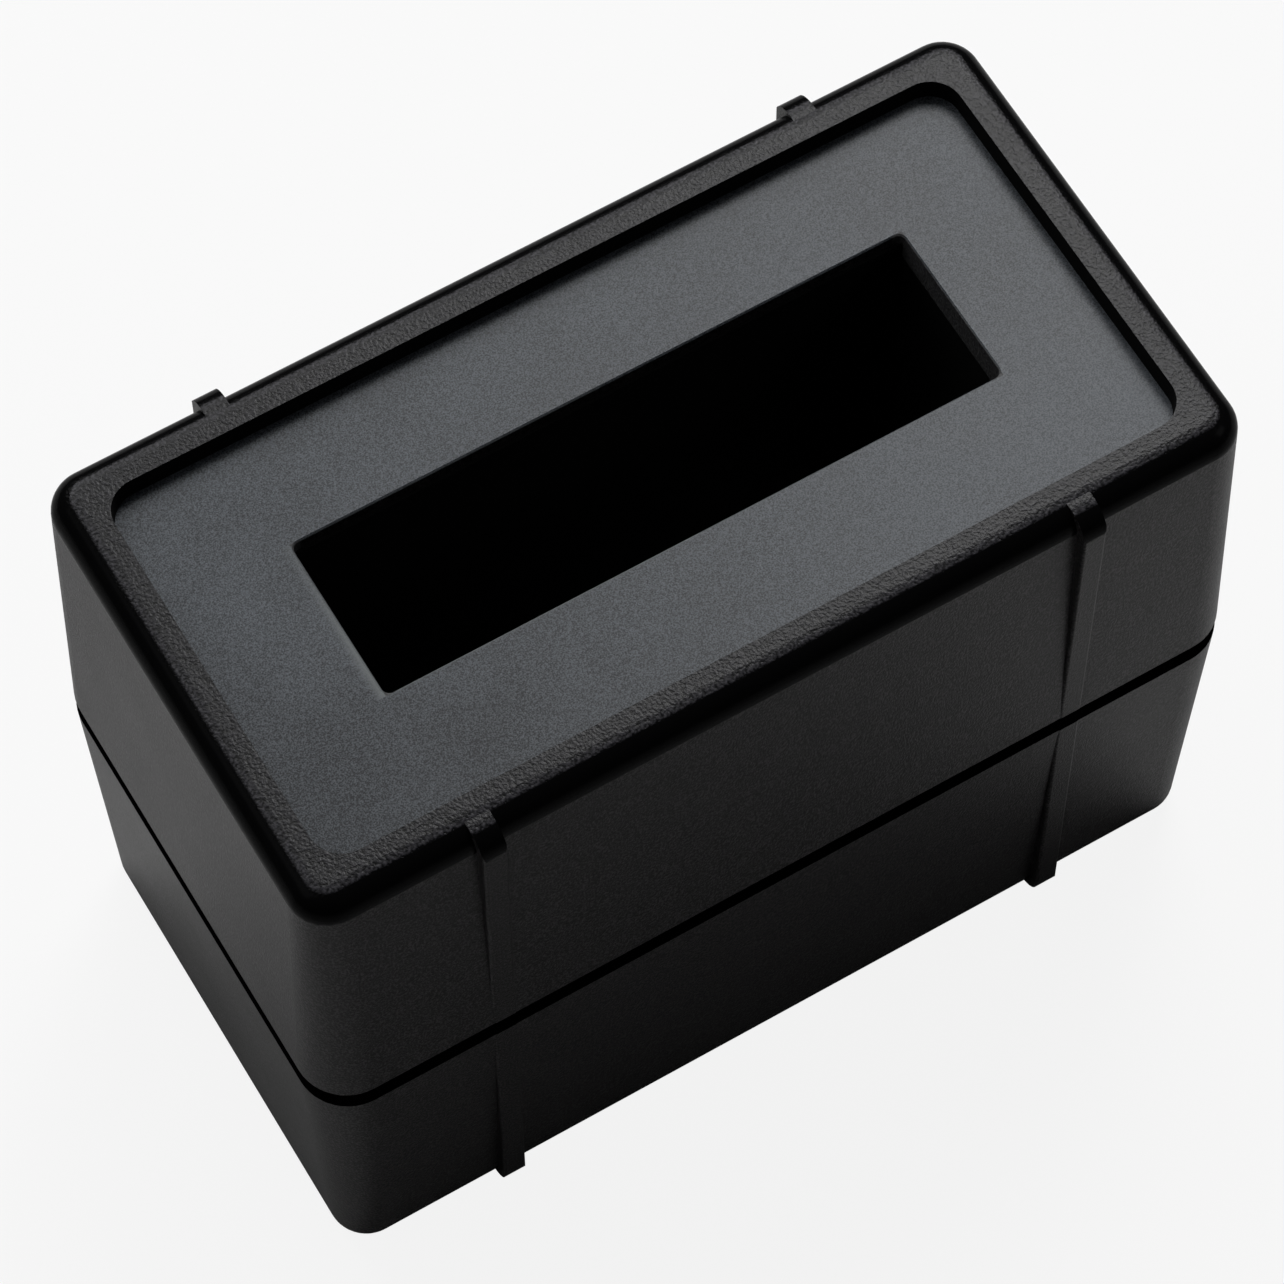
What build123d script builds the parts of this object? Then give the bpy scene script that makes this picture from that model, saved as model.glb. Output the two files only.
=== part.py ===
from build123d import *
import os
from math import radians, tan

os.makedirs("parts", exist_ok=True)

# Hand-held permanent-magnet eraser for cassettes. A cassette goes end first through a tunnel
# between two stacks of magnets. The origin is the centre of the footprint, +Z is up and the
# long side runs along X. All sizes are in millimetres.

# Fits
fit = 0.1                # clearance of a moulded or punched fit
air = 0.25               # clearance between pieces that only pass each other
over = 1.0               # how far a cut runs past the face that it opens

# Tunnel: its mouths in the two panels, and the liner between them
tunnel_x = 0.6           # the tunnel and all that is built around it, off the housing's middle
tunnel_y = 0.5
slot_length = 65.8
slot_width = 17.9
slot_corner = 0.8
slot_edge = 0.15         # bevel of the mouth's edge
side_step = 0.3          # the liner's long walls stand proud of the mouth
end_setback = 0.25       # the liner's short walls stand back from the mouth
ledge_depth = 1.55       # from the panel down to the liner's long walls
lip_depth = 3.7          # from the panel down to the liner's short walls
liner_wall = 1.5

# Magnet stacks
magnet_count = 4
magnet_length = 66.0
magnet_height = 15.0
magnet_thickness = 9.0
magnet_corner = 0.8      # bevel of a magnet's upright corners
spacer_height = 2.0
pad_thickness = 2.0

# Steel frame that carries the magnets
yoke_thickness = 2.5
yoke_overhang = 3.0      # yoke beyond the end ties
tie_thickness = 2.0
tie_height = 58.0
tab_height = 10.0
tab_spacing = 38.0
steel_corner = 2.0       # bevel of a yoke's or tie's corners

# Moulded housing
wall = 3.0
panel = 2.5
inner_bevel = 1.6        # upright corners of the hollow inside
draft = 2.0              # degrees, from the parting line to each rim
corner_radius = 5.3      # at the parting line
rim_radius = 2.8
rim_width = 4.35         # from the outer edge to the recess
recess_depth = 2.3
recess_draft = 4.5       # degrees, on the wall around the recess
recess_corner = 3.3
side_room = 2.5          # from the yokes to the side walls, at the parting line
end_room = 2.85          # from the screw bosses to the end walls, at the parting line

# Parting line: a shadow groove, with a tongue of the lower half behind it
groove_height = 2.6
groove_depth = 1.5
tongue_overlap = 2.0
tongue_room = 0.5        # from the tongue inwards

# Ribs on the long sides, upright where the wall leans in
rib_width = 2.5
rib_offset = 31.7
rib_drop = 0.1           # below the rim
rib_edge = 0.3

# Rails inside the long walls, which hold the yokes
rail_width = 2.0
rail_offsets = (12.0, 28.0)

# Housing screws, put in from below, and their bosses
boss_radius = 4.0
boss_gap = 0.5           # from the end ties to the bosses
boss_inset = 0.5         # from the liner's long walls to the bosses
web_thickness = 1.6
screw_radius = 1.5
screw_length = 16.0
screw_hole_radius = 1.7
thread_air = 0.05
head_radius = 2.6
head_height = 2.0
head_edge = 0.5
head_hole_radius = 2.9
seat_thickness = 6.0     # boss between the screw's head and the parting line
drive_width = 0.7
drive_length = 3.0
drive_depth = 1.2

# Places worked out from the tunnel outwards
tunnel_length = slot_length + 2 * end_setback
tunnel_width = slot_width - 2 * side_step
liner_length = tunnel_length + 2 * liner_wall
liner_width = tunnel_width + 2 * liner_wall
magnet_y = liner_width / 2 + air
yoke_y = magnet_y + magnet_thickness
yoke_back = yoke_y + yoke_thickness
tie_x = max(liner_length, magnet_length) / 2 + air
tie_back = tie_x + tie_thickness
yoke_length = 2 * (tie_back + yoke_overhang)
screw_x = tie_back + boss_gap + boss_radius
screw_y = liner_width / 2 + boss_inset + boss_radius
length = 2 * (screw_x + boss_radius + end_room + wall)
width = 2 * (yoke_back + side_room + wall)
rail_end = width / 2 - wall + fit
web_end = length / 2 - wall + fit

# Heights worked out from the stack outwards
stack_height = magnet_count * magnet_height + (magnet_count - 1) * spacer_height
height = stack_height + 2 * (pad_thickness + panel + recess_depth)
mid = height / 2
lean = mid * tan(radians(draft))
recess_length = length - 2 * (lean + rim_width)
recess_width = width - 2 * (lean + rim_width)
panel_top = height - recess_depth
ceiling = panel_top - panel
stack_top = ceiling - pad_thickness
stack_bottom = height - stack_top
ledge = panel_top - ledge_depth
lip = panel_top - lip_depth
upper_edge = mid + groove_height / 2
lower_edge = mid - groove_height / 2
tongue_top = upper_edge + tongue_overlap
screw_seat = mid - seat_thickness

parting = Plane.XY.offset(mid)


def tunnel_plane(level):
    """A level plane, centred on the tunnel."""
    return Plane((tunnel_x, tunnel_y, level))


def tunnel_side(distance, side, level):
    """An upright plane along the tunnel, at a distance from its middle, facing outwards."""
    return Plane((tunnel_x, tunnel_y + side * distance, level), x_dir=(1, 0, 0), z_dir=(0, side, 0))


def keep(piece, name):
    """Label a finished piece and write it to its own file."""
    piece.part.label = name
    export_step(piece.part, f"parts/{name}.step")


def screw_places():
    """The four screws, on whatever plane of the tunnel's is in use."""
    return GridLocations(2 * screw_x, 2 * screw_y, 2, 2)


def wall_ring(outer_inset, inner_inset):
    """Sketch the wall's outline at the parting line, between two distances from its outer face."""
    RectangleRounded(length - 2 * outer_inset, width - 2 * outer_inset, corner_radius - outer_inset)
    RectangleRounded(
        length - 2 * inner_inset,
        width - 2 * inner_inset,
        corner_radius - inner_inset,
        mode=Mode.SUBTRACT,
    )


# A pair of ribs is an upright slice of the block, with its ends rounded over like the rim
with BuildPart() as rib_slice:
    with BuildSketch(Plane((0, 0, mid), x_dir=(0, 1, 0), z_dir=(1, 0, 0))) as rib_side:
        Rectangle(width, mid - rib_drop, align=(Align.CENTER, Align.MIN))
        fillet(rib_side.vertices().group_by(Axis.Y)[-1], rim_radius)
    extrude(amount=rib_width / 2, both=True)
    with BuildSketch(parting):
        RectangleRounded(rib_width, width, rib_edge)
    extrude(amount=mid, mode=Mode.INTERSECT)

# Both shells come from one moulded form, made here as the upper half
with BuildPart() as moulded_half:
    with BuildSketch(parting):
        RectangleRounded(length, width, corner_radius)
    extrude(amount=mid, taper=draft)
    fillet(moulded_half.faces().sort_by(Axis.Z)[-1].edges(), rim_radius)
    with Locations((-rib_offset, 0, 0), (rib_offset, 0, 0)):
        add(rib_slice.part)

    # the hollow inside, open at the parting line
    with BuildSketch(parting) as hollow:
        Rectangle(length - 2 * wall, width - 2 * wall)
        chamfer(hollow.vertices(), inner_bevel)
    extrude(amount=ceiling - mid, taper=draft, mode=Mode.SUBTRACT)

    # the recessed panel and the tunnel's mouth in it
    with BuildSketch(Plane.XY.offset(height)):
        RectangleRounded(recess_length, recess_width, recess_corner)
    extrude(amount=-recess_depth, taper=recess_draft, mode=Mode.SUBTRACT)
    with BuildSketch(tunnel_plane(ceiling)):
        RectangleRounded(slot_length, slot_width, slot_corner)
    extrude(amount=panel, mode=Mode.SUBTRACT)
    top_face = moulded_half.faces().filter_by_position(Axis.Z, panel_top - fit, panel_top + fit)[0]
    chamfer(top_face.inner_wires()[0].edges(), slot_edge)

    # the liner's seat under the panel, and a deeper lip at each short end of the mouth
    with BuildSketch(tunnel_plane(ceiling)):
        Rectangle(liner_length + 2 * fit, liner_width + 2 * fit)
    extrude(amount=ledge - ceiling, mode=Mode.SUBTRACT)
    with BuildSketch(tunnel_plane(lip)):
        Rectangle(liner_length, tunnel_width - 2 * fit)
        Rectangle(slot_length, tunnel_width, mode=Mode.SUBTRACT)
    extrude(amount=ledge - lip)

    # rails that hold the yokes, and a web from each screw's boss to the end wall
    with BuildSketch(Plane.XY.offset(tongue_top + over)):
        for side in (-1, 1):
            rail_start = yoke_back + fit + side * tunnel_y
            for rail_offset in rail_offsets:
                with Locations((-rail_offset, side * rail_start), (rail_offset, side * rail_start)):
                    with Locations((0, side * (rail_end - rail_start) / 2)):
                        Rectangle(rail_width, rail_end - rail_start)
            web_start = screw_x + side * tunnel_x
            with Locations((side * (web_start + web_end) / 2, tunnel_y)):
                with GridLocations(0, 2 * screw_y, 1, 2):
                    Rectangle(web_end - web_start, web_thickness)
    extrude(amount=ceiling - tongue_top - over)
    with BuildSketch(tunnel_plane(mid)):
        with screw_places():
            Circle(boss_radius)
    extrude(amount=ceiling - mid)

    # the wall stops short of the parting line, for half of the shadow groove
    with BuildSketch(parting):
        wall_ring(-over, wall + tongue_room)
    extrude(amount=groove_height / 2, mode=Mode.SUBTRACT)

with BuildPart() as upper_shell:
    add(moulded_half.part)
    with BuildSketch(Plane.XY.offset(upper_edge)):
        wall_ring(groove_depth - fit, wall + tongue_room)
    extrude(amount=tongue_overlap + fit, mode=Mode.SUBTRACT)
    with Locations(Plane((tunnel_x, tunnel_y, mid), z_dir=(0, 0, -1))):
        with screw_places():
            Hole(screw_radius + thread_air, depth=screw_length - seat_thickness + over)
keep(upper_shell, "upper_shell")

with BuildPart() as lower_shell:
    mirror(moulded_half.part, about=parting)
    with BuildSketch(Plane.XY.offset(lower_edge)):
        wall_ring(groove_depth, wall)
    extrude(amount=tongue_top - lower_edge)
    with Locations(Plane((tunnel_x, tunnel_y, recess_depth), z_dir=(0, 0, -1))):
        with screw_places():
            CounterBoreHole(screw_hole_radius, head_hole_radius, screw_seat - recess_depth, depth=mid)
keep(lower_shell, "lower_shell")

# Liner: a moulded tube, whose short walls are cut back at both ends to clear the lips
with BuildPart() as tunnel_liner:
    with BuildSketch(tunnel_plane(height - ledge)):
        Rectangle(liner_length, liner_width)
        Rectangle(tunnel_length, tunnel_width, mode=Mode.SUBTRACT)
    extrude(amount=2 * ledge - height)
    for notch_bottom in (lip, height - ledge):
        with BuildSketch(tunnel_plane(notch_bottom)):
            Rectangle(liner_length, tunnel_width)
        extrude(amount=ledge - lip, mode=Mode.SUBTRACT)
keep(tunnel_liner, "tunnel_liner")

# End ties: steel plates across the tunnel's ends, with tabs that pass through the yokes
for name, end in (("left_end_tie", -1), ("right_end_tie", 1)):
    with BuildPart() as end_tie:
        tie_plane = Plane((tunnel_x + end * tie_x, tunnel_y, mid), x_dir=(0, 1, 0), z_dir=(end, 0, 0))
        with BuildSketch(tie_plane) as tie_face:
            Rectangle(2 * yoke_y, tie_height)
            chamfer(tie_face.vertices(), steel_corner)
            with GridLocations(0, tab_spacing, 1, 2):
                Rectangle(2 * yoke_back, tab_height)
        extrude(amount=tie_thickness)
    keep(end_tie, name)

# Each side of the tunnel has a steel yoke with magnets on it, one above the other, kept apart
# by spacers, and a foam pad above and below
for side_name, side in (("front", -1), ("rear", 1)):
    with BuildPart() as yoke:
        with BuildSketch(tunnel_side(yoke_y, side, mid)) as yoke_face:
            Rectangle(yoke_length, stack_height)
            chamfer(yoke_face.vertices(), steel_corner)
            with GridLocations(tie_x + tie_back, tab_spacing, 2, 2):
                Rectangle(tie_thickness + 2 * fit, tab_height + 2 * fit, mode=Mode.SUBTRACT)
        extrude(amount=yoke_thickness)
    keep(yoke, f"{side_name}_yoke")

    for row in range(magnet_count):
        magnet_z = stack_bottom + row * (magnet_height + spacer_height) + magnet_height / 2
        with BuildPart() as magnet:
            with BuildSketch(tunnel_side(magnet_y, side, magnet_z)) as magnet_face:
                Rectangle(magnet_length, magnet_height)
                chamfer(magnet_face.vertices(), magnet_corner)
            extrude(amount=magnet_thickness)
        keep(magnet, f"{side_name}_magnet_{row + 1}")

    for row in range(magnet_count - 1):
        spacer_bottom = stack_bottom + row * (magnet_height + spacer_height) + magnet_height
        with BuildPart() as spacer:
            with BuildSketch(Plane((tunnel_x, tunnel_y + side * (magnet_y + yoke_y) / 2, spacer_bottom))):
                Rectangle(magnet_length, magnet_thickness)
            extrude(amount=spacer_height)
        keep(spacer, f"{side_name}_spacer_{row + 1}")

    for level, pad_bottom in (("upper", stack_top), ("lower", stack_bottom - pad_thickness)):
        with BuildPart() as pad:
            with BuildSketch(Plane((tunnel_x, tunnel_y + side * (magnet_y + yoke_back) / 2, pad_bottom))):
                Rectangle(magnet_length, yoke_back - magnet_y)
            extrude(amount=pad_thickness)
        keep(pad, f"{side_name}_{level}_pad")

# Housing screws, heads down, each seated in its counterbore
with BuildPart() as housing_screws:
    with BuildSketch(tunnel_plane(screw_seat)):
        with screw_places():
            Circle(screw_radius)
    extrude(amount=screw_length)
    with BuildSketch(tunnel_plane(screw_seat - head_height)):
        with screw_places():
            Circle(head_radius)
    extrude(amount=head_height)
    chamfer(housing_screws.edges().group_by(Axis.Z)[0], head_edge)
    with BuildSketch(tunnel_plane(screw_seat - head_height)):
        with screw_places():
            Rectangle(drive_length, drive_width)
            Rectangle(drive_width, drive_length)
    extrude(amount=drive_depth, mode=Mode.SUBTRACT)
keep(housing_screws, "housing_screws")
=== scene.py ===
from math import cos, pi, radians, sin
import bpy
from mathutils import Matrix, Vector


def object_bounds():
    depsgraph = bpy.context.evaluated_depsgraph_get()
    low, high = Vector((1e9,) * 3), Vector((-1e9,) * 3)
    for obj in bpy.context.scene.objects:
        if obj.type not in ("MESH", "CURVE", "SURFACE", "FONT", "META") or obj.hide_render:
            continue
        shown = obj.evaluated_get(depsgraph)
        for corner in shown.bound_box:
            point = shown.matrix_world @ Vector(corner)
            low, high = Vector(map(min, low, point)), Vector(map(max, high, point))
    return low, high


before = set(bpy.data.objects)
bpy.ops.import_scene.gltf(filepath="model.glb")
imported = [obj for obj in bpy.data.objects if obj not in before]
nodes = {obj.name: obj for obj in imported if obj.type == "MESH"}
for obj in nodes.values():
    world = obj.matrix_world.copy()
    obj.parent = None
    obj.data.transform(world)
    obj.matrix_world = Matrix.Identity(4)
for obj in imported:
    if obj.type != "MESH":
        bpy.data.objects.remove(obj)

from types import SimpleNamespace

import bpy
from mathutils import Matrix, Vector

# The eraser stands on the floor, tunnel upright, as the frame says: metres, +Z up, +X along its
# long side. Its shells and everything in them are the frame's own nodes. This script gives each
# of them its finish, and makes the camera, the lamps and the floor.

MM = 0.001
cad_low, cad_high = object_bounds()
MIDDLE = cad_high.z / 2

# Camera: its direction is an azimuth from +X towards +Y, and an elevation, in degrees
CAMERA_TARGET = Vector((0.0001, 0.0012, 0.0398))
CAMERA_DIRECTION = (-120.155, 62.661)
CAMERA_ROLL = -0.40
CAMERA_DISTANCE = 0.5469
CAMERA_LENS = 155.9

# Soft boxes: direction from the object, as for the camera, width and height in metres, and
# radiance, where 1 is white paper in full light
LIGHT_TARGET = Vector((0, 0, MIDDLE))
LIGHT_DISTANCE = 1.2
LIGHTS = {
    "key": ((50, 58), (0.38, 0.38), 9.0),
    "right": ((38, 46), (0.46, 0.44), 4.3),
    "back": ((74, 41), (0.42, 0.46), 2.6),
    "rear": ((101, 44), (0.40, 0.85), 3.1),
    "left": ((163, 50), (0.7, 0.7), 0.62),
    "front": ((-38, 34), (0.42, 0.42), 1.0),
}

# Floor and world: what lights the object, and what the camera sees instead
FLOOR_HALF = 6.0
FLOOR_COLOR = (0.8, 0.8, 0.8)
FLOOR_WHITE_SHARE = 0.88
ROOM_COLOR = (0.008, 0.008, 0.008)
BACKGROUND_COLOR = (0.9, 0.9, 0.9)

# Zones of the shells, which are alike above and below the parting line. A level is a height
# above or below that line.
RECESS_HALF = (45.55 * MM, 21.75 * MM)
RIM_START = MIDDLE - 3.2 * MM
UNDER_RIM_FACE = MIDDLE - 0.02 * MM
OVER_PANEL_FACE = MIDDLE - 2.27 * MM
UNDER_PANEL_FACE = MIDDLE - 2.6 * MM
GROOVE_HALF = 1.36 * MM
MOUTH_MIDDLE = (0.6 * MM, 0.5 * MM)
MOUTH_HALF = (32.9 * MM, 8.95 * MM)
LIP_DEPTH = 1.0 * MM
LIP_START = MIDDLE - 6.5 * MM

# How far past the mouth's edges a point still counts as level with the mouth, or as in it
MOUTH_PLAY = 0.1 * MM
LIP_PLAY = 0.05 * MM

# Flatness of a face, from 0 upright to 1 level, over which one zone gives way to the next
WALL_ENDS = (0.05, 0.14)
PEBBLES_START = (0.88, 0.96)
RIM_STARTS = (0.94, 0.975)
# Flatness over which the painted highlight on the rim's outer edge gives way to the plain rim
RIM_HIGHLIGHT_ENDS = (0.985, 0.9995)

# Painted highlight along the mouth's left and near edges: how far it reaches outwards, and how strong it
# is
LEFT_HIGHLIGHT = (0.0, 1.3 * MM)
LEFT_HIGHLIGHT_FADES = (-6 * MM, 8 * MM)
LEFT_HIGHLIGHT_AT_BACK = 0.35
NEAR_HIGHLIGHT = (0.05 * MM, 0.35 * MM)
NEAR_HIGHLIGHT_STRENGTH = 0.45

# Grain: size of its features, and how deep it is in each zone, in units of BUMP_DEPTH
RIM_GRAIN = 0.30 * MM
PANEL_GRAIN = 0.15 * MM
WALL_GRAIN = 0.2 * MM
WALL_STRETCH = (1, 1, 0.6)
CLOUDS = 9 * MM
BUMP_DEPTH = 0.028 * MM
PEBBLE_DEPTH = 2.0
EDGE_PEBBLE_DEPTH = 2.2
LIP_GRAIN_DEPTH = 3.0
PANEL_GRAIN_DEPTH = 0.4
WALL_GRAIN_DEPTH = 2.0

# Tone of the panel: faint clouds, and over its front part a painted shade at the left and a painted
# light at the right
CLOUD_TONE = 0.4
FRONT_SHADING_STARTS = (-6 * MM, 18 * MM)
FRONT_SHADING_HALF = 34 * MM
FRONT_PAINTED_SHADING = (-0.22, 0.16)

# Range of each noise that runs from a zone's darkest colour to its lightest, and those colours
PANEL_SPECKLE = (0.2, 0.8)
PEBBLES = (0.3, 0.75)
WALL_SPECKLE = (0.38, 0.74)
PANEL_COLORS = ((0.014, 0.016, 0.019), (0.119, 0.132, 0.149))
WALL_COLORS = ((0.0018, 0.0017, 0.0018), (0.0600, 0.0560, 0.0585))
RIM_COLORS = ((0.0015, 0.0015, 0.0018), (0.0220, 0.0213, 0.0250))
# A painted highlight along the rim's outer edge, lighter than the rim itself
RIM_HIGHLIGHT_COLORS = ((0.0050, 0.0050, 0.0060), (0.0850, 0.0830, 0.0930))
RIM_HIGHLIGHT_SHARE = 0.6
# The lip's coarse grain is real; its colour, lighter than the rest of the shell, is painted light from
# above
LIP_PAINTED_LIGHT_COLORS = ((0.0600, 0.0600, 0.0620), (0.1150, 0.1150, 0.1180))
# Colour of the painted highlight along the mouth's edges
MOUTH_HIGHLIGHT_COLOR = (0.150, 0.163, 0.168)
FILLET_COLOR = (0.0030, 0.0030, 0.0032)
# Near black painted shade in the parting groove and on the recess's step wall
GROOVE_SHADE_COLOR = (0.0008, 0.0008, 0.0008)

# Gloss of the shells
ROUGHNESS = {"fillet": 0.2, "wall": 0.36, "rim": 0.31, "panel": 0.32, "groove": 0.9, "lip": 0.6}
CLOUD_ROUGHNESS = 0.06
SPECULAR_LEVEL = 0.5
FILLET_SPECULAR_LEVEL = 0.1
HOUSING_IOR = 1.27

# Darkest and lightest colours of the other materials
LINER_COLORS = ((0.0012, 0.0012, 0.0013), (0.0022, 0.0022, 0.0024))
STEEL_COLORS = ((0.34, 0.34, 0.35), (0.55, 0.55, 0.56))
SCREW_COLORS = ((0.5, 0.49, 0.46), (0.68, 0.67, 0.63))
FERRITE_COLORS = ((0.045, 0.045, 0.05), (0.09, 0.09, 0.095))
SPACER_COLORS = ((0.55, 0.53, 0.48), (0.64, 0.62, 0.57))
FOAM_COLORS = ((0.03, 0.03, 0.032), (0.07, 0.07, 0.072))


def place_facing(thing, target, direction, distance, roll=0.0):
    """Put a camera or lamp at a distance from its target, in a direction, and face the target."""
    azimuth, elevation = (radians(angle) for angle in direction)
    back = Vector((cos(azimuth) * cos(elevation), sin(azimuth) * cos(elevation), sin(elevation)))
    turn = (-back).to_track_quat("-Z", "Y").to_matrix().to_4x4()
    spot = Matrix.Translation(target + back * distance)
    thing.matrix_world = spot @ turn @ Matrix.Rotation(radians(roll), 4, "Z")


def make_camera():
    """The camera, with a long lens."""
    camera = bpy.data.objects.new("camera", bpy.data.cameras.new("camera"))
    bpy.context.scene.collection.objects.link(camera)
    camera.data.lens = CAMERA_LENS
    camera.data.sensor_width = 36.0
    camera.data.clip_start = 0.01
    camera.data.clip_end = 20.0
    place_facing(camera, CAMERA_TARGET, CAMERA_DIRECTION, CAMERA_DISTANCE, CAMERA_ROLL)
    bpy.context.scene.camera = camera


def make_light(name, direction, size, radiance):
    """A rectangular soft box that faces the object. Its power follows from its area."""
    width, height = size
    lamp = bpy.data.lights.new(name, "AREA")
    lamp.shape = "RECTANGLE"
    lamp.size = width
    lamp.size_y = height
    lamp.energy = radiance * width * height * pi
    light = bpy.data.objects.new(name, lamp)
    bpy.context.scene.collection.objects.link(light)
    place_facing(light, LIGHT_TARGET, direction, LIGHT_DISTANCE)


def new_material(name):
    """A node material, with its tree and shader."""
    material = bpy.data.materials.new(name)
    material.use_nodes = True
    tree = material.node_tree
    return material, tree, tree.nodes["Principled BSDF"]


def feed(tree, socket, value):
    """Link a socket to another node's output, or set its number, vector or colour."""
    if isinstance(value, bpy.types.NodeSocket):
        tree.links.new(value, socket)
    elif socket.type == "RGBA":
        socket.default_value = (*value, 1)
    else:
        socket.default_value = value


def add_node(tree, kind, inputs=None, **settings):
    """A new shader node with its settings and inputs."""
    made = tree.nodes.new("ShaderNode" + kind)
    for name, value in settings.items():
        setattr(made, name, value)
    for key, value in (inputs or {}).items():
        feed(tree, made.inputs[key], value)
    return made


def calculate(tree, operation, *values):
    """The result of a maths node."""
    return add_node(tree, "Math", dict(enumerate(values)), operation=operation).outputs[0]


def times(tree, first, *others):
    """The product of several values. Of masks, that is what their zones have in common."""
    for other in others:
        first = calculate(tree, "MULTIPLY", first, other)
    return first


def plus(tree, first, *others):
    """The sum of several values."""
    for other in others:
        first = calculate(tree, "ADD", first, other)
    return first


def largest(tree, first, second):
    """The larger of two values. Of masks, that is their zones taken together."""
    return calculate(tree, "MAXIMUM", first, second)


def outside_of(tree, mask):
    """One minus a mask: one outside its zone."""
    return calculate(tree, "SUBTRACT", 1.0, mask)


def below(tree, value, limit):
    """A mask: one where a value lies below a limit."""
    return calculate(tree, "LESS_THAN", value, limit)


def above(tree, value, limit):
    """A mask: one where a value lies above a limit."""
    return calculate(tree, "GREATER_THAN", value, limit)


def ramp(tree, value, start, end):
    """Zero up to start, one from end on, and a smooth rise between them."""
    inputs = {"Value": value, "From Min": start, "From Max": end}
    return add_node(tree, "MapRange", inputs, interpolation_type="SMOOTHSTEP").outputs["Result"]


def blend(tree, factor, first, second):
    """A number between two numbers."""
    inputs = {"Factor": factor, "A": first, "B": second}
    return add_node(tree, "Mix", inputs).outputs["Result"]


def blend_color(tree, factor, first, second):
    """A colour between two colours."""
    inputs = {0: factor, 6: first, 7: second}
    return add_node(tree, "Mix", inputs, data_type="RGBA").outputs[2]


def grain(tree, place, size, detail, roughness):
    """Noise with features of a size in metres, around one half."""
    inputs = {"Vector": place, "Scale": 1 / size, "Detail": detail, "Roughness": roughness}
    return add_node(tree, "TexNoise", inputs).outputs[0]


def stretched(tree, place, scale):
    """A place scaled along each axis, so that a grain is drawn out where the scale is below one."""
    return add_node(tree, "Mapping", {"Vector": place, "Scale": scale}).outputs[0]


def add_bump(tree, shader, height, strength, depth):
    """Raise the surface by a height, in units of a depth in metres."""
    bump = add_node(tree, "Bump", {"Height": height, "Strength": strength, "Distance": depth})
    tree.links.new(bump.outputs[0], shader.inputs["Normal"])


def object_place(tree):
    """The point on the object."""
    return add_node(tree, "TexCoord").outputs["Object"]


def axes_of(tree, vector):
    """The x, y and z of a vector."""
    return add_node(tree, "SeparateXYZ", {"Vector": vector}).outputs


def shell_zones(tree, x, y, level, flatness):
    """Masks for the zones of the shells: one in a zone, zero outside it."""
    in_length = below(tree, calculate(tree, "ABSOLUTE", x), RECESS_HALF[0])
    in_width = below(tree, calculate(tree, "ABSOLUTE", y), RECESS_HALF[1])
    recess = times(tree, in_length, in_width)
    sunk = times(tree, recess, below(tree, level, OVER_PANEL_FACE))
    step = calculate(tree, "SUBTRACT", below(tree, level, UNDER_RIM_FACE), sunk)
    recess_wall = times(tree, recess, step)
    outside = outside_of(tree, largest(tree, sunk, recess_wall))
    top = times(tree, outside, above(tree, level, RIM_START))
    pebbled = times(tree, top, ramp(tree, flatness, *PEBBLES_START))
    rim = times(tree, top, ramp(tree, flatness, *RIM_STARTS))
    wall = outside_of(tree, ramp(tree, flatness, *WALL_ENDS))
    return SimpleNamespace(
        panel=times(tree, sunk, above(tree, level, UNDER_PANEL_FACE)),
        rim=rim,
        # The band of painted highlight where the rim starts to curve into the fillet
        rim_edge_highlight=times(tree, rim, outside_of(tree, ramp(tree, flatness, *RIM_HIGHLIGHT_ENDS))),
        wall=wall,
        fillet=times(tree, outside, outside_of(tree, largest(tree, wall, rim))),
        # The parting groove and the recess's step wall, where painted shade goes
        groove=largest(tree, recess_wall, below(tree, level, GROOVE_HALF)),
        pebbled=pebbled,
        edge_pebbles=times(tree, pebbled, outside_of(tree, rim)),
    )


def mouth_zones(tree, x, y, level):
    """Masks for the painted highlight along the mouth's edges and for the lip inside it."""
    along = calculate(tree, "SUBTRACT", x, MOUTH_MIDDLE[0])
    across = calculate(tree, "SUBTRACT", y, MOUTH_MIDDLE[1])
    past_end = calculate(tree, "SUBTRACT", calculate(tree, "ABSOLUTE", along), MOUTH_HALF[0])
    past_side = calculate(tree, "SUBTRACT", calculate(tree, "ABSOLUTE", across), MOUTH_HALF[1])
    in_width = below(tree, past_side, MOUTH_PLAY)
    in_length = below(tree, past_end, MOUTH_PLAY)

    # A painted highlight along the mouth's left end, fading towards the back
    fading = blend(tree, ramp(tree, across, *LEFT_HIGHLIGHT_FADES), 1.0, LEFT_HIGHLIGHT_AT_BACK)
    left_highlight = outside_of(tree, ramp(tree, past_end, *LEFT_HIGHLIGHT))
    left_highlight = times(tree, left_highlight, fading, below(tree, along, 0.0), in_width)
    # and a fainter painted highlight along its near side
    near_highlight = outside_of(tree, ramp(tree, past_side, *NEAR_HIGHLIGHT))
    near_highlight = times(tree, near_highlight, below(tree, across, 0.0), in_length)
    mouth_highlight = largest(tree, left_highlight, times(tree, near_highlight, NEAR_HIGHLIGHT_STRENGTH))

    lip = times(tree, in_width, below(tree, past_end, LIP_PLAY))
    lip = times(tree, lip, above(tree, past_end, -LIP_DEPTH), above(tree, level, LIP_START))
    return SimpleNamespace(mouth_highlight=mouth_highlight, lip=lip)


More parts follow.
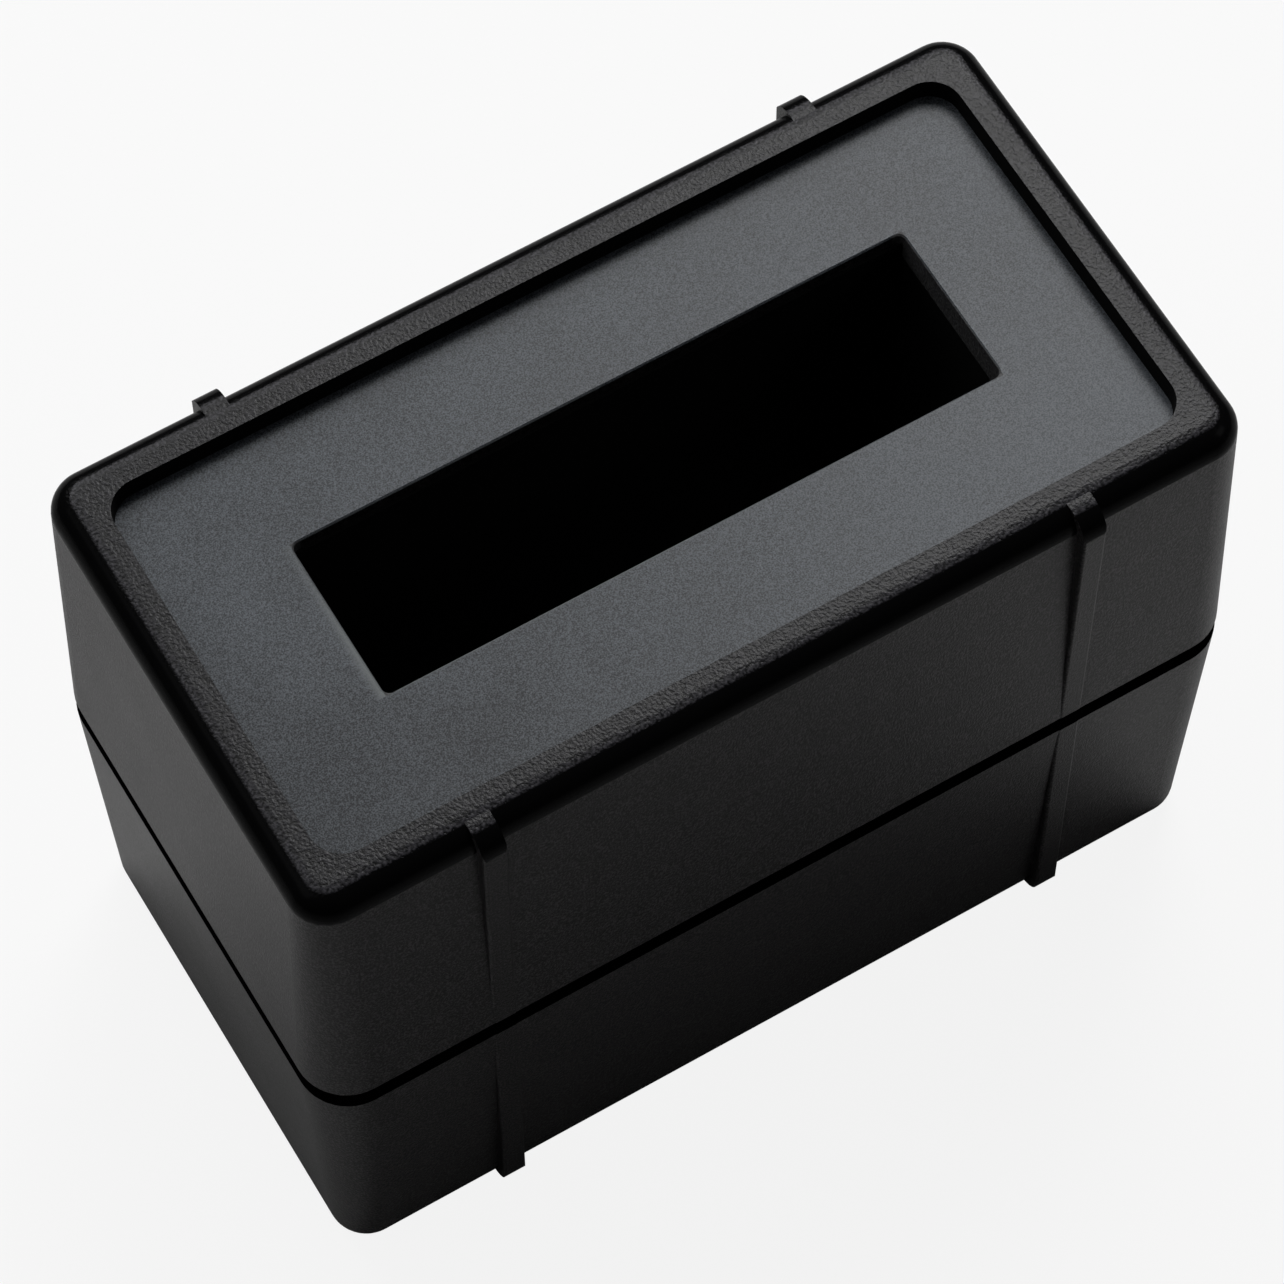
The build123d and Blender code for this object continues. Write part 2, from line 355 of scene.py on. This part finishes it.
def shell_grains(tree, place):
    """The noises that the shells' finish is made of."""
    drawn = stretched(tree, place, WALL_STRETCH)
    return SimpleNamespace(
        pebbles=grain(tree, place, RIM_GRAIN, detail=1.5, roughness=0.5),
        panel=grain(tree, place, PANEL_GRAIN, detail=1.0, roughness=0.6),
        wall=grain(tree, drawn, WALL_GRAIN, detail=1.0, roughness=0.6),
        clouds=grain(tree, place, CLOUDS, detail=2.0, roughness=0.5),
    )


def shell_height(tree, zones, mouth, grains):
    """The height of the moulded grain, in units of BUMP_DEPTH."""
    pebbles = times(tree, zones.pebbled, PEBBLE_DEPTH)
    pebbles = plus(tree, pebbles, times(tree, zones.edge_pebbles, EDGE_PEBBLE_DEPTH))
    pebbles = largest(tree, pebbles, times(tree, mouth.lip, LIP_GRAIN_DEPTH))
    panel = times(tree, zones.panel, PANEL_GRAIN_DEPTH)
    wall = times(tree, zones.wall, WALL_GRAIN_DEPTH)
    return plus(
        tree,
        times(tree, grains.pebbles, pebbles),
        times(tree, grains.panel, panel),
        times(tree, grains.wall, wall),
    )


def clouds_and_painted_shading(tree, x, y, clouds):
    """What the panel's clouds, and the painted shade and light over its front part, add to its speckle.
    """
    cloudy = times(tree, calculate(tree, "SUBTRACT", clouds, 0.5), CLOUD_TONE)
    # Painted shading over the front part: darker towards the left, lighter towards the right
    front = ramp(tree, times(tree, y, -1.0), *FRONT_SHADING_STARTS)
    inputs = {"Value": x, "From Min": -FRONT_SHADING_HALF, "From Max": FRONT_SHADING_HALF}
    inputs["To Min"], inputs["To Max"] = FRONT_PAINTED_SHADING
    painted_slant = add_node(tree, "MapRange", inputs).outputs["Result"]
    return plus(tree, cloudy, times(tree, front, painted_slant))


def shell_color(tree, x, y, zones, mouth, grains):
    """The colour of the shells, zone over zone."""
    # The panel's speckle includes the painted shade and light over its front part
    speckle = plus(tree, ramp(tree, grains.panel, *PANEL_SPECKLE), clouds_and_painted_shading(tree, x, y, grains.clouds))
    pebble = ramp(tree, grains.pebbles, *PEBBLES)
    wall_speckle = ramp(tree, grains.wall, *WALL_SPECKLE)
    panel = blend_color(tree, speckle, *PANEL_COLORS)
    # A lighter colour along the mouth's left and near edges: a painted highlight
    panel = blend_color(tree, mouth.mouth_highlight, panel, MOUTH_HIGHLIGHT_COLOR)
    rim_edge_highlight = times(tree, zones.rim_edge_highlight, RIM_HIGHLIGHT_SHARE)

    color = blend_color(tree, zones.wall, FILLET_COLOR, blend_color(tree, wall_speckle, *WALL_COLORS))
    color = blend_color(tree, zones.rim, color, blend_color(tree, pebble, *RIM_COLORS))
    # Painted highlight along the rim's outer edge
    color = blend_color(tree, rim_edge_highlight, color, blend_color(tree, pebble, *RIM_HIGHLIGHT_COLORS))
    color = blend_color(tree, zones.panel, color, panel)
    # Painted shade: the groove and the recess's step wall are coloured near black
    color = blend_color(tree, zones.groove, color, GROOVE_SHADE_COLOR)
    # The lip inside the mouth: real coarse grain and roughness, coloured lighter as painted light
    # falling from above
    return blend_color(tree, mouth.lip, color, blend_color(tree, pebble, *LIP_PAINTED_LIGHT_COLORS))


def shell_roughness(tree, zones, mouth, clouds):
    """The roughness of the shells, zone over zone."""
    roughness = blend(tree, zones.wall, ROUGHNESS["fillet"], ROUGHNESS["wall"])
    roughness = blend(tree, zones.rim, roughness, ROUGHNESS["rim"])
    roughness = blend(tree, zones.panel, roughness, ROUGHNESS["panel"])
    cloudy = times(tree, calculate(tree, "SUBTRACT", clouds, 0.5), CLOUD_ROUGHNESS)
    roughness = plus(tree, roughness, cloudy)
    roughness = blend(tree, zones.groove, roughness, ROUGHNESS["groove"])
    return blend(tree, mouth.lip, roughness, ROUGHNESS["lip"])


def housing_material():
    """Black moulded plastic: a satin panel, a pebbled rim and finely grained walls."""
    material, tree, shader = new_material("housing_plastic")
    place = object_place(tree)
    x, y, z = axes_of(tree, place)
    level = calculate(tree, "ABSOLUTE", calculate(tree, "SUBTRACT", z, MIDDLE))
    normal = add_node(tree, "NewGeometry").outputs["Normal"]
    flatness = calculate(tree, "ABSOLUTE", axes_of(tree, normal)["Z"])

    zones = shell_zones(tree, x, y, level, flatness)
    mouth = mouth_zones(tree, x, y, level)
    grains = shell_grains(tree, place)
    specular = blend(tree, zones.fillet, SPECULAR_LEVEL, FILLET_SPECULAR_LEVEL)
    height = shell_height(tree, zones, mouth, grains)
    add_bump(tree, shader, height, strength=1.0, depth=BUMP_DEPTH)
    feed(tree, shader.inputs["Base Color"], shell_color(tree, x, y, zones, mouth, grains))
    feed(tree, shader.inputs["Roughness"], shell_roughness(tree, zones, mouth, grains.clouds))
    feed(tree, shader.inputs["Specular IOR Level"], specular)
    feed(tree, shader.inputs["IOR"], HOUSING_IOR)
    return material


def liner_material():
    """Black plastic with a dull moulded skin."""
    material, tree, shader = new_material("liner_plastic")
    skin = grain(tree, object_place(tree), 0.5 * MM, detail=2.0, roughness=0.6)
    add_bump(tree, shader, skin, strength=0.6, depth=0.02 * MM)
    feed(tree, shader.inputs["Base Color"], blend_color(tree, skin, *LINER_COLORS))
    feed(tree, shader.inputs["Roughness"], blend(tree, skin, 0.5, 0.62))
    return material


def brushed_material(name, colors, roughness, stretch):
    """Rolled or plated steel, with fine marks drawn out along an axis where stretch is small."""
    material, tree, shader = new_material(name)
    drawn = stretched(tree, object_place(tree), stretch)
    marks = grain(tree, drawn, 0.5 * MM, detail=3.0, roughness=0.6)
    add_bump(tree, shader, marks, strength=0.4, depth=0.01 * MM)
    feed(tree, shader.inputs["Base Color"], blend_color(tree, marks, *colors))
    feed(tree, shader.inputs["Roughness"], blend(tree, marks, *roughness))
    feed(tree, shader.inputs["Metallic"], 1.0)
    return material


def mottled_material(name, colors, roughness, size, depth):
    """A dull moulded, pressed or foamed body with a grain of one size."""
    material, tree, shader = new_material(name)
    speckle = grain(tree, object_place(tree), size, detail=3.0, roughness=0.65)
    add_bump(tree, shader, speckle, strength=0.8, depth=depth)
    feed(tree, shader.inputs["Base Color"], blend_color(tree, speckle, *colors))
    feed(tree, shader.inputs["Roughness"], blend(tree, speckle, *roughness))
    return material


def make_floor():
    """A plain pale floor, nearly white to the camera, that shows the object's shadow."""
    sides = ((-1, -1), (1, -1), (1, 1), (-1, 1))
    corners = [(x * FLOOR_HALF, y * FLOOR_HALF, 0) for x, y in sides]
    mesh = bpy.data.meshes.new("floor")
    mesh.from_pydata(corners, [], [(0, 1, 2, 3)])
    floor = bpy.data.objects.new("floor", mesh)
    bpy.context.scene.collection.objects.link(floor)

    material, tree, shader = new_material("floor_paper")
    feed(tree, shader.inputs["Base Color"], FLOOR_COLOR)
    feed(tree, shader.inputs["Roughness"], 0.9)
    feed(tree, shader.inputs["Specular IOR Level"], 0.0)
    seen = add_node(tree, "LightPath").outputs["Is Camera Ray"]
    share = times(tree, seen, FLOOR_WHITE_SHARE)
    white = add_node(tree, "Emission", {"Color": (1, 1, 1), "Strength": 1.0})
    mix = add_node(tree, "MixShader", {0: share, 1: shader.outputs[0], 2: white.outputs[0]})
    feed(tree, tree.nodes["Material Output"].inputs["Surface"], mix.outputs[0])
    mesh.materials.append(material)


def make_world():
    """A nearly black room, which is pale grey to the camera."""
    world = bpy.data.worlds.new("studio")
    bpy.context.scene.world = world
    world.use_nodes = True
    tree = world.node_tree
    seen = add_node(tree, "LightPath").outputs["Is Camera Ray"]
    color = blend_color(tree, seen, ROOM_COLOR, BACKGROUND_COLOR)
    feed(tree, tree.nodes["Background"].inputs["Color"], color)


def dress(node_name, material):
    """Give a CAD node one material on all of its faces."""
    for slot in nodes[node_name].material_slots:
        slot.link = "OBJECT"
        slot.material = material


make_camera()
make_floor()
make_world()
for light_name, (direction, size, radiance) in LIGHTS.items():
    make_light(light_name, direction, size, radiance)

# The finish of each node, by a word in the node's name
finishes = {
    "shell": housing_material(),
    "liner": liner_material(),
    "yoke": brushed_material("yoke_steel", STEEL_COLORS, (0.3, 0.5), (0.1, 1, 1)),
    "tie": brushed_material("tie_steel", STEEL_COLORS, (0.3, 0.5), (1, 0.1, 1)),
    "screws": brushed_material("screw_steel", SCREW_COLORS, (0.25, 0.4), (1, 1, 1)),
    "magnet": mottled_material("magnet_ferrite", FERRITE_COLORS, (0.55, 0.8), 0.6 * MM, 0.03 * MM),
    "spacer": mottled_material("spacer_plastic", SPACER_COLORS, (0.4, 0.55), 2 * MM, 0.02 * MM),
    "pad": mottled_material("pad_foam", FOAM_COLORS, (0.85, 1.0), 0.4 * MM, 0.2 * MM),
}
for node_name in nodes:
    for word, finish in finishes.items():
        if word in node_name:
            dress(node_name, finish)

bpy.context.scene.view_settings.view_transform = "Standard"
